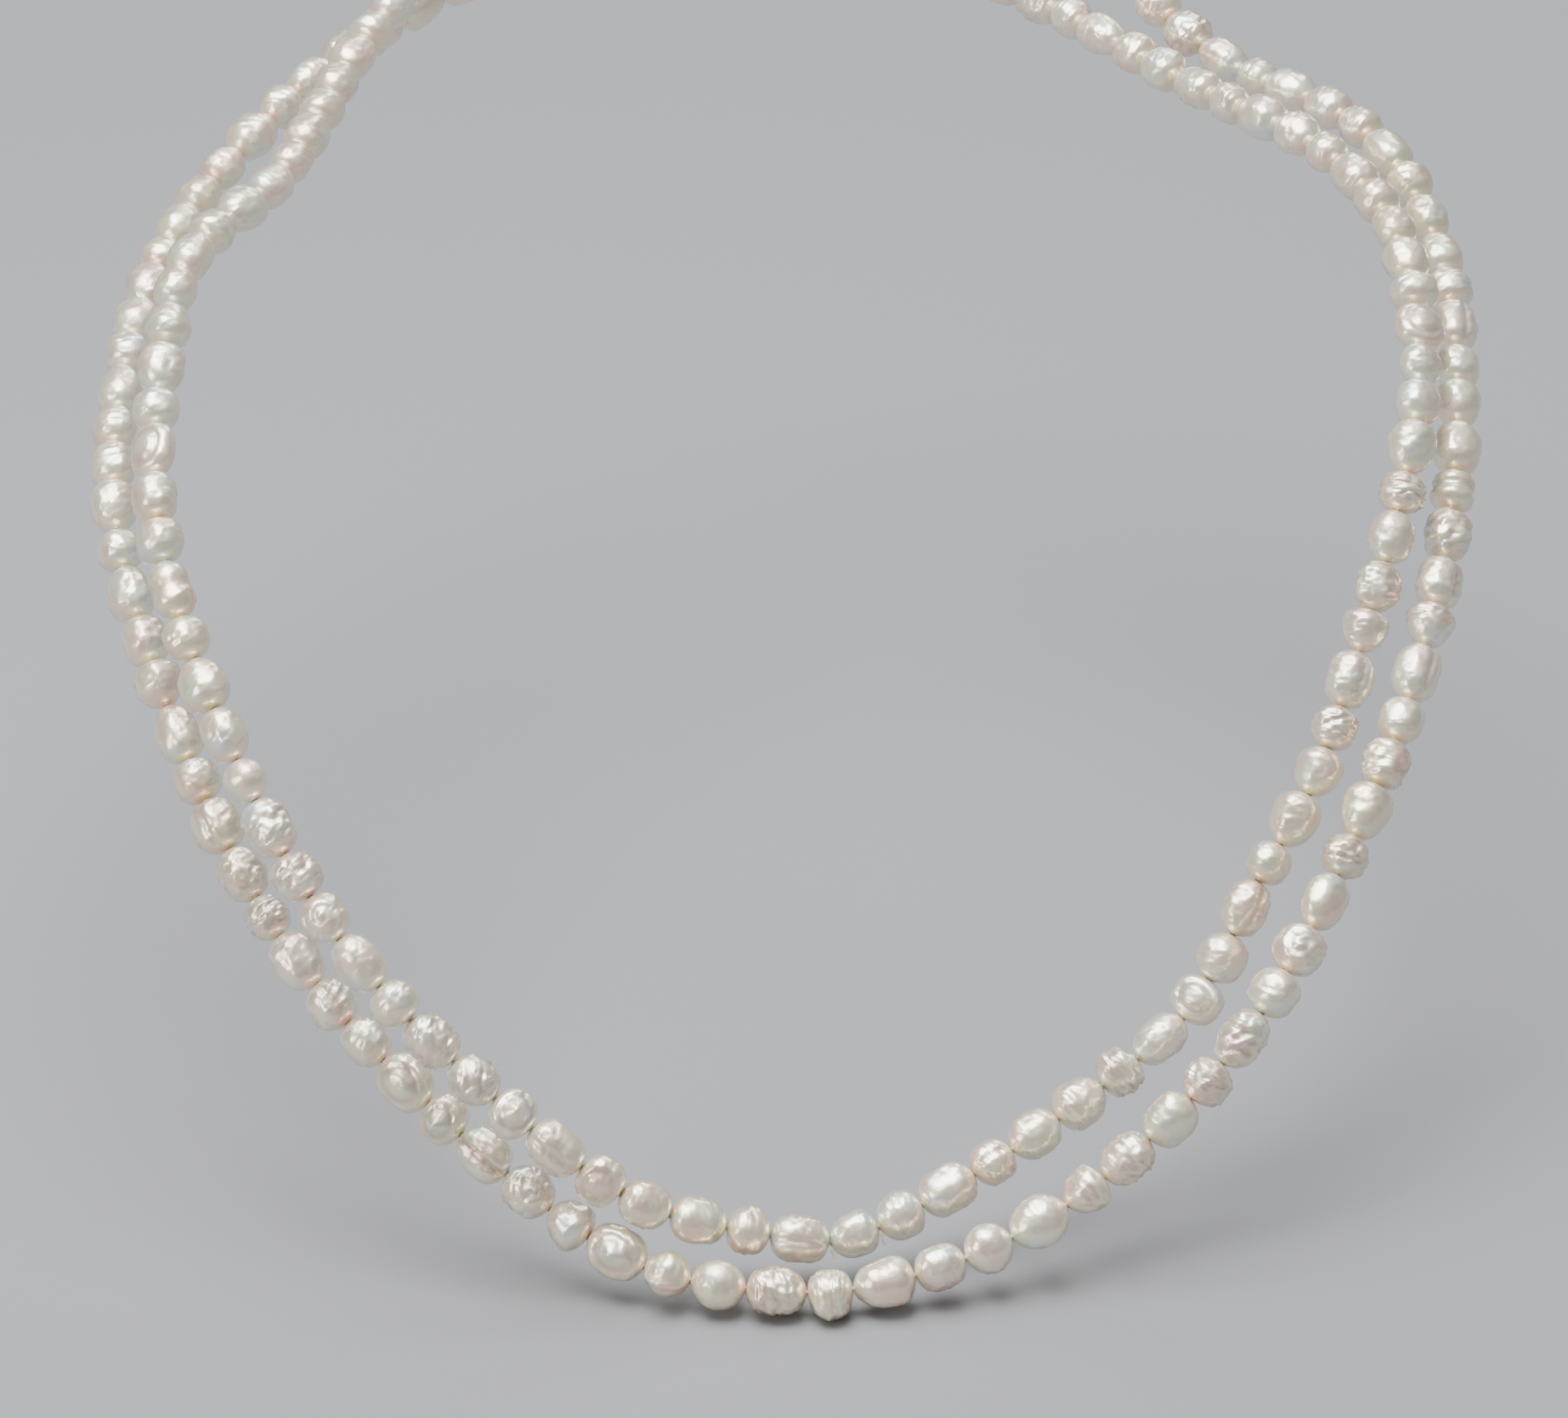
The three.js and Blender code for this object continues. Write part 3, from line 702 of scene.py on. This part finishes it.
def cast(name, loops, half, voxel, rounding):
    """A plate cut to these loops in X and Z, then tumbled until its edges are round."""
    flat = bpy.data.curves.new(name, "CURVE")
    flat.dimensions, flat.fill_mode, flat.extrude = "2D", "BOTH", half * MM
    for loop in loops:
        spline = flat.splines.new("POLY")
        spline.points.add(len(loop) - 1)
        for spot, (px, pz) in zip(spline.points, loop):
            spot.co = (px * MM, pz * MM, 0, 1)
        spline.use_cyclic_u = True
    blank = bpy.data.objects.new(name, flat)
    bpy.context.scene.collection.objects.link(blank)
    bpy.context.view_layer.update()
    graph = bpy.context.evaluated_depsgraph_get()
    mesh = bpy.data.meshes.new_from_object(blank.evaluated_get(graph))
    bpy.data.objects.remove(blank)
    mesh.transform(Matrix.Rotation(math.radians(90), 4, "X"))
    work = bpy.data.objects.new(name, mesh)
    bpy.context.scene.collection.objects.link(work)
    clean = bmesh.new()
    clean.from_mesh(mesh)
    bmesh.ops.remove_doubles(clean, verts=clean.verts, dist=1e-7)
    bmesh.ops.recalc_face_normals(clean, faces=clean.faces)
    clean.to_mesh(mesh)
    clean.free()
    grid = work.modifiers.new("grid", "REMESH")
    grid.mode, grid.voxel_size = "VOXEL", voxel * MM
    tumble = work.modifiers.new("tumble", "SMOOTH")
    tumble.factor, tumble.iterations = 0.5, rounding
    return work


def settle(work, name, bend=None, cutters=()):
    """Applies a casting's modifiers, shapes its thickness, saws it, and moves it to the nape."""
    graph = bpy.context.evaluated_depsgraph_get()
    mesh = bpy.data.meshes.new_from_object(work.evaluated_get(graph), depsgraph=graph)
    work.modifiers.clear()
    work.data = mesh
    if bend:
        for v in mesh.vertices:
            v.co.y *= bend(v.co.x / MM, v.co.z / MM)
    for cutter in cutters:
        saw = work.modifiers.new("saw", "BOOLEAN")
        saw.operation, saw.solver, saw.object = "DIFFERENCE", "EXACT", cutter
    if cutters:
        graph = bpy.context.evaluated_depsgraph_get()
        mesh = bpy.data.meshes.new_from_object(work.evaluated_get(graph), depsgraph=graph)
    bpy.data.objects.remove(work)
    for cutter in cutters:
        bpy.data.objects.remove(cutter)
    mesh.transform(Matrix.Translation((0, CLASP_Y * MM, 0)))
    mesh.materials.clear()
    mesh.materials.append(silver)
    for face in mesh.polygons:
        face.use_smooth = True
    mesh.set_sharp_from_angle(angle=math.radians(40))
    mesh.name = name
    return mesh


def oval(cx, cz, rx, rz, first, last, steps):
    """Points on an oval between two angles in degrees."""
    turns = [math.radians(first + (last - first) * k / steps) for k in range(steps + 1)]
    return [(cx + rx * math.cos(t), cz + rz * math.sin(t)) for t in turns]


def cutter_box(x0, x1, y0, y1, z0, z1):
    """A saw cut as a box, in millimetres from the clasp's middle."""
    bpy.ops.mesh.primitive_cube_add(size=1)
    box = bpy.context.object
    box.data.transform(Matrix.Translation(Vector((x0 + x1, y0 + y1, z0 + z1)) * MM / 2)
                       @ Matrix.Diagonal(Vector((x1 - x0, y1 - y0, z1 - z0)) * MM).to_4x4())
    return box


def cutter_drill(px, pz, radius):
    """A drilled hole as a rod along Y."""
    bpy.ops.mesh.primitive_cylinder_add(vertices=40, radius=radius * MM, depth=8 * MM)
    drill = bpy.context.object
    drill.data.transform(Matrix.Translation((px * MM, 0, pz * MM))
                         @ Matrix.Rotation(math.radians(90), 4, "X"))
    return drill


def ease(value, first, last):
    """Rises smoothly from 0 to 1 between two values."""
    t = min(1, max(0, (value - first) / (last - first)))
    return t * t * (3 - 2 * t)


def claw_thickness(px, pz):
    """Thin at the eye, full at the shoulder, slimmer at the hook, with cambered cheeks."""
    camber = 1 - 0.24 * min(1, ((px - 1.6) / 5.0) ** 2 + (pz / 2.7) ** 2)
    return camber * (0.44 + 0.60 * ease(px, -4.2, -2.0) - 0.46 * ease(px, 1.2, 3.9))


claw = (
    oval(2.3, 0, 4.3, 2.7, 72.4, -163, 60)
    + oval(EYE_X, 0, 1.38, 1.4, -38, -322, 40)
    + oval(2.3, 0, 4.3, 2.7, 163, 109, 16)
    + oval(3.0, 0, 2.8, 1.75, 138, 437, 70)
)
eye = oval(EYE_X, 0, 0.80, 0.80, 0, 355, 71)
body_mesh = settle(
    cast("claw_body", (claw, eye), 1.5, 0.085, 11), "claw_body", claw_thickness,
    (cutter_box(-1.6, 1.25, -0.9, 0.9, -0.5, 5), cutter_drill(*PIVOT, 0.42)),
)
show("claw_body", body_mesh, "clasp", "silver", "clasp_body")

# Trigger: a flat cast lever that turns on the pin. Its arm closes the mouth of the claw, and
# its nub stands proud for a thumbnail.
lever = [(-0.2, 0.2), (0.4, 0.42), (1.0, 0.75), (2.2, 1.0), (3.3, 1.15), (3.38, 1.5), (3.3, 1.92),
         (2.4, 2.02), (1.75, 2.2), (1.62, 2.7), (1.5, 3.1), (1.1, 3.22), (0.65, 3.1), (0.5, 2.6),
         (0.42, 2.0), (0.1, 1.65)] + oval(*PIVOT, 0.76, 0.76, 80, 250, 20)
trigger_work = cast("claw_trigger", (lever,), 0.30, 0.05, 3)
trigger_mesh = settle(trigger_work, "claw_trigger", None, (cutter_drill(*PIVOT, 0.46),))
trigger_mesh.transform(Matrix.Translation((0, -0.15 * MM, 0)))
show("claw_trigger", trigger_mesh, "trigger", "silver", "trigger")

# Pin and spring: a riveted steel pin through both cheeks, and a coil of spring wire round
# it, one leg on the claw's floor and one under the trigger.
pin = bmesh.new()
profile = ((0, -1.62), (0.30, -1.60), (0.46, -1.50), (0.46, -1.42), (0.39, -1.36), (0.39, 1.36),
           (0.46, 1.42), (0.46, 1.50), (0.30, 1.60), (0, 1.62))
PIN_SIDES = 32
rings = []
for r, py in profile:
    ring = []
    for k in range(PIN_SIDES if r else 1):
        t = math.tau * k / PIN_SIDES
        ring.append(pin.verts.new(((PIVOT[0] + r * math.cos(t)) * MM, (CLASP_Y + py) * MM,
                                   (PIVOT[1] + r * math.sin(t)) * MM)))
    rings.append(ring)
for a, b in zip(rings, rings[1:]):
    for k in range(PIN_SIDES):
        corner = [a[k % len(a)], a[(k + 1) % len(a)], b[(k + 1) % len(b)], b[k % len(b)]]
        pin.faces.new(list(dict.fromkeys(corner)))
bmesh.ops.recalc_face_normals(pin, faces=pin.faces)
pin_mesh = bpy.data.meshes.new("claw_pin")
pin.to_mesh(pin_mesh)
pin.free()
pin_mesh.materials.append(silver)
for face in pin_mesh.polygons:
    face.use_smooth = True
pin_mesh.set_sharp_from_angle(angle=math.radians(50))
show("claw_pin", pin_mesh, "clasp", "silver", "trigger_pin")
SPRING_R, SPRING_TURNS, SPRING_STEPS = 0.62, 2.4, 60
SPRING_START, SPRING_LENGTH = CLASP_Y + 0.32, 0.45
spots = [Vector((-1.45, SPRING_START, -0.35)), Vector((-1.2, SPRING_START, 0.2))]
for k in range(SPRING_STEPS + 1):
    t = math.radians(200) + math.tau * SPRING_TURNS * k / SPRING_STEPS
    y = SPRING_START + SPRING_LENGTH * k / SPRING_STEPS
    spots.append(Vector((PIVOT[0] + SPRING_R * math.cos(t), y, PIVOT[1] + SPRING_R * math.sin(t))))
spots += [Vector((0.2, CLASP_Y + 0.77, 0.1)), Vector((0.75, CLASP_Y + 0.77, -0.15))]
mesh = along_path(wire_tree, "claw_spring", spots, silver, Radius=0.00009, Sides=8)
show(mesh.name, mesh, "clasp", "silver", "trigger_spring")
